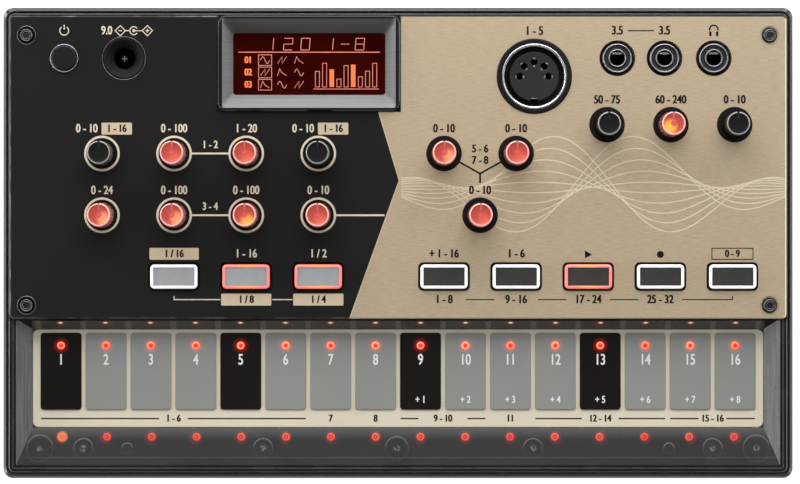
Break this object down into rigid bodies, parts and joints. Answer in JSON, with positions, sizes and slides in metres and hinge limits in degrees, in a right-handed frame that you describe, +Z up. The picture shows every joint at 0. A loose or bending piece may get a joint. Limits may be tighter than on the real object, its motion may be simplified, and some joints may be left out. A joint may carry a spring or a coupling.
{
  "type": "tabletop drum machine",
  "caption": "Compact electronic drum machine with a metal panel of lit knobs and keys, a display, sockets and a sunken touch strip of pads.",
  "frame": {"origin": "middle of the case on the plane that the rubber feet stand on", "axes": "+X to the right along the touch strip, +Y to the rear, +Z up out of the panel"},
  "size_m": [0.193, 0.115, 0.039],
  "materials": {
    "case_black": "fine moulded texture",
    "smoked_plastic": "smoked, slightly see-through",
    "panel_metal": "brushed champagne with a black printed field",
    "bezel_black": "polished",
    "display_window": "tinted",
    "display_housing": "plain",
    "touch_print": "printed board",
    "dark_pad": "printed film",
    "grey_pad": "printed film",
    "red_light": "clear resin",
    "amber_light": "clear resin",
    "control_body": "plain",
    "button_black": "satin",
    "socket_black": "satin",
    "plated_metal": "bright plating",
    "contact_metal": "plated",
    "board_laminate": "glass-fibre laminate",
    "black_screw": "black oxide",
    "zinc_screw": "zinc",
    "cell_wrap": "plain wrap",
    "speaker_steel": "plated",
    "cone_paper": "pressed paper",
    "magnet": "bare ferrite",
    "foot_rubber": "soft",
    "lit_knob": "clear red, lit from below",
    "dark_knob": "satin",
    "clear_key": "clear with a printed face"
  },
  "bodies": {
    "case": {"lower_case": "case_black", "upper_case": "smoked_plastic", "front_panel": "panel_metal", "display_bezel": "bezel_black", "display_glass": "display_window", "display_module": "display_housing", "touch_board": "touch_print", "dark_pads": "dark_pad", "grey_pads": "grey_pad", "pad_lights": "red_light", "step_lights": "amber_light", "potentiometers": "control_body", "key_switches": "control_body", "power_switch": "control_body", "power_inlet": "socket_black", "round_socket": "socket_black", "round_insert": "socket_black", "jack_bodies": "socket_black", "jack_ferrules": "socket_black", "inlet_pin": "plated_metal", "round_shield": "plated_metal", "round_contacts": "contact_metal", "battery_contacts": "contact_metal", "main_board": "board_laminate", "jack_board": "board_laminate", "panel_screws": "black_screw", "case_screws": "black_screw", "board_screws": "zinc_screw", "cells": "cell_wrap", "speaker_frame": "speaker_steel", "speaker_cone": "cone_paper", "speaker_magnet": "magnet", "rubber_feet": "foot_rubber"},
    "level_knob": {"level_knob": "dark_knob"},
    "amount_knob": {"amount_knob": "lit_knob"},
    "rate_knob": {"rate_knob": "lit_knob"},
    "select_knob": {"select_knob": "dark_knob"},
    "pitch_knob": {"pitch_knob": "lit_knob"},
    "attack_knob": {"attack_knob": "lit_knob"},
    "release_knob": {"release_knob": "lit_knob"},
    "send_knob": {"send_knob": "lit_knob"},
    "decay_knob": {"decay_knob": "lit_knob"},
    "tone_knob": {"tone_knob": "lit_knob"},
    "tune_knob": {"tune_knob": "lit_knob"},
    "swing_knob": {"swing_knob": "dark_knob"},
    "tempo_knob": {"tempo_knob": "lit_knob"},
    "volume_knob": {"volume_knob": "dark_knob"},
    "shift_key": {"shift_key": "clear_key"},
    "layer_key": {"layer_key": "clear_key"},
    "edit_key": {"edit_key": "clear_key"},
    "step_key": {"step_key": "clear_key"},
    "mute_key": {"mute_key": "clear_key"},
    "play_key": {"play_key": "clear_key"},
    "record_key": {"record_key": "clear_key"},
    "function_key": {"function_key": "clear_key"},
    "power_button": {"power_button": "button_black"},
    "battery_cover": {"battery_cover": "case_black"}
  },
  "joints": [
    {"name": "level_turn", "type": "hinge", "parent": "case", "child": "level_knob", "pos_m": [-0.07211, 0.02179, 0.0292], "axis": [0, 0, 1], "range_deg": [-150, 150]},
    {"name": "amount_turn", "type": "hinge", "parent": "case", "child": "amount_knob", "pos_m": [-0.05454, 0.02179, 0.0292], "axis": [0, 0, 1], "range_deg": [-150, 150]},
    {"name": "rate_turn", "type": "hinge", "parent": "case", "child": "rate_knob", "pos_m": [-0.03698, 0.02179, 0.0292], "axis": [0, 0, 1], "range_deg": [-150, 150]},
    {"name": "select_turn", "type": "hinge", "parent": "case", "child": "select_knob", "pos_m": [-0.01942, 0.02179, 0.0292], "axis": [0, 0, 1], "range_deg": [-150, 150]},
    {"name": "pitch_turn", "type": "hinge", "parent": "case", "child": "pitch_knob", "pos_m": [-0.07211, 0.00675, 0.0292], "axis": [0, 0, 1], "range_deg": [-150, 150]},
    {"name": "attack_turn", "type": "hinge", "parent": "case", "child": "attack_knob", "pos_m": [-0.05454, 0.00675, 0.0292], "axis": [0, 0, 1], "range_deg": [-150, 150]},
    {"name": "release_turn", "type": "hinge", "parent": "case", "child": "release_knob", "pos_m": [-0.03698, 0.00675, 0.0292], "axis": [0, 0, 1], "range_deg": [-150, 150]},
    {"name": "send_turn", "type": "hinge", "parent": "case", "child": "send_knob", "pos_m": [-0.01942, 0.00675, 0.0292], "axis": [0, 0, 1], "range_deg": [-150, 150]},
    {"name": "decay_turn", "type": "hinge", "parent": "case", "child": "decay_knob", "pos_m": [0.0112, 0.02179, 0.0292], "axis": [0, 0, 1], "range_deg": [-150, 150]},
    {"name": "tone_turn", "type": "hinge", "parent": "case", "child": "tone_knob", "pos_m": [0.02877, 0.02179, 0.0292], "axis": [0, 0, 1], "range_deg": [-150, 150]},
    {"name": "tune_turn", "type": "hinge", "parent": "case", "child": "tune_knob", "pos_m": [0.01998, 0.00675, 0.0292], "axis": [0, 0, 1], "range_deg": [-150, 150]},
    {"name": "swing_turn", "type": "hinge", "parent": "case", "child": "swing_knob", "pos_m": [0.0509, 0.02881, 0.0292], "axis": [0, 0, 1], "range_deg": [-150, 150]},
    {"name": "tempo_turn", "type": "hinge", "parent": "case", "child": "tempo_knob", "pos_m": [0.06645, 0.02881, 0.0292], "axis": [0, 0, 1], "range_deg": [-150, 150]},
    {"name": "volume_turn", "type": "hinge", "parent": "case", "child": "volume_knob", "pos_m": [0.082, 0.02881, 0.0292], "axis": [0, 0, 1], "range_deg": [-150, 150]},
    {"name": "shift_press", "type": "slide", "parent": "case", "child": "shift_key", "axis": [0, 0, -1], "range_m": [0, 0.0004], "stiffness_N_per_m": 2500},
    {"name": "layer_press", "type": "slide", "parent": "case", "child": "layer_key", "axis": [0, 0, -1], "range_m": [0, 0.0004], "stiffness_N_per_m": 2500},
    {"name": "edit_press", "type": "slide", "parent": "case", "child": "edit_key", "axis": [0, 0, -1], "range_m": [0, 0.0004], "stiffness_N_per_m": 2500},
    {"name": "step_press", "type": "slide", "parent": "case", "child": "step_key", "axis": [0, 0, -1], "range_m": [0, 0.0004], "stiffness_N_per_m": 2500},
    {"name": "mute_press", "type": "slide", "parent": "case", "child": "mute_key", "axis": [0, 0, -1], "range_m": [0, 0.0004], "stiffness_N_per_m": 2500},
    {"name": "play_press", "type": "slide", "parent": "case", "child": "play_key", "axis": [0, 0, -1], "range_m": [0, 0.0004], "stiffness_N_per_m": 2500},
    {"name": "record_press", "type": "slide", "parent": "case", "child": "record_key", "axis": [0, 0, -1], "range_m": [0, 0.0004], "stiffness_N_per_m": 2500},
    {"name": "function_press", "type": "slide", "parent": "case", "child": "function_key", "axis": [0, 0, -1], "range_m": [0, 0.0004], "stiffness_N_per_m": 2500},
    {"name": "power_press", "type": "slide", "parent": "case", "child": "power_button", "axis": [0, 0, -1], "range_m": [0, 0.0006], "stiffness_N_per_m": 2500},
    {"name": "cover_lift", "type": "slide", "parent": "case", "child": "battery_cover", "axis": [0, 0, -1], "range_m": [0, 0.02]}
  ]
}
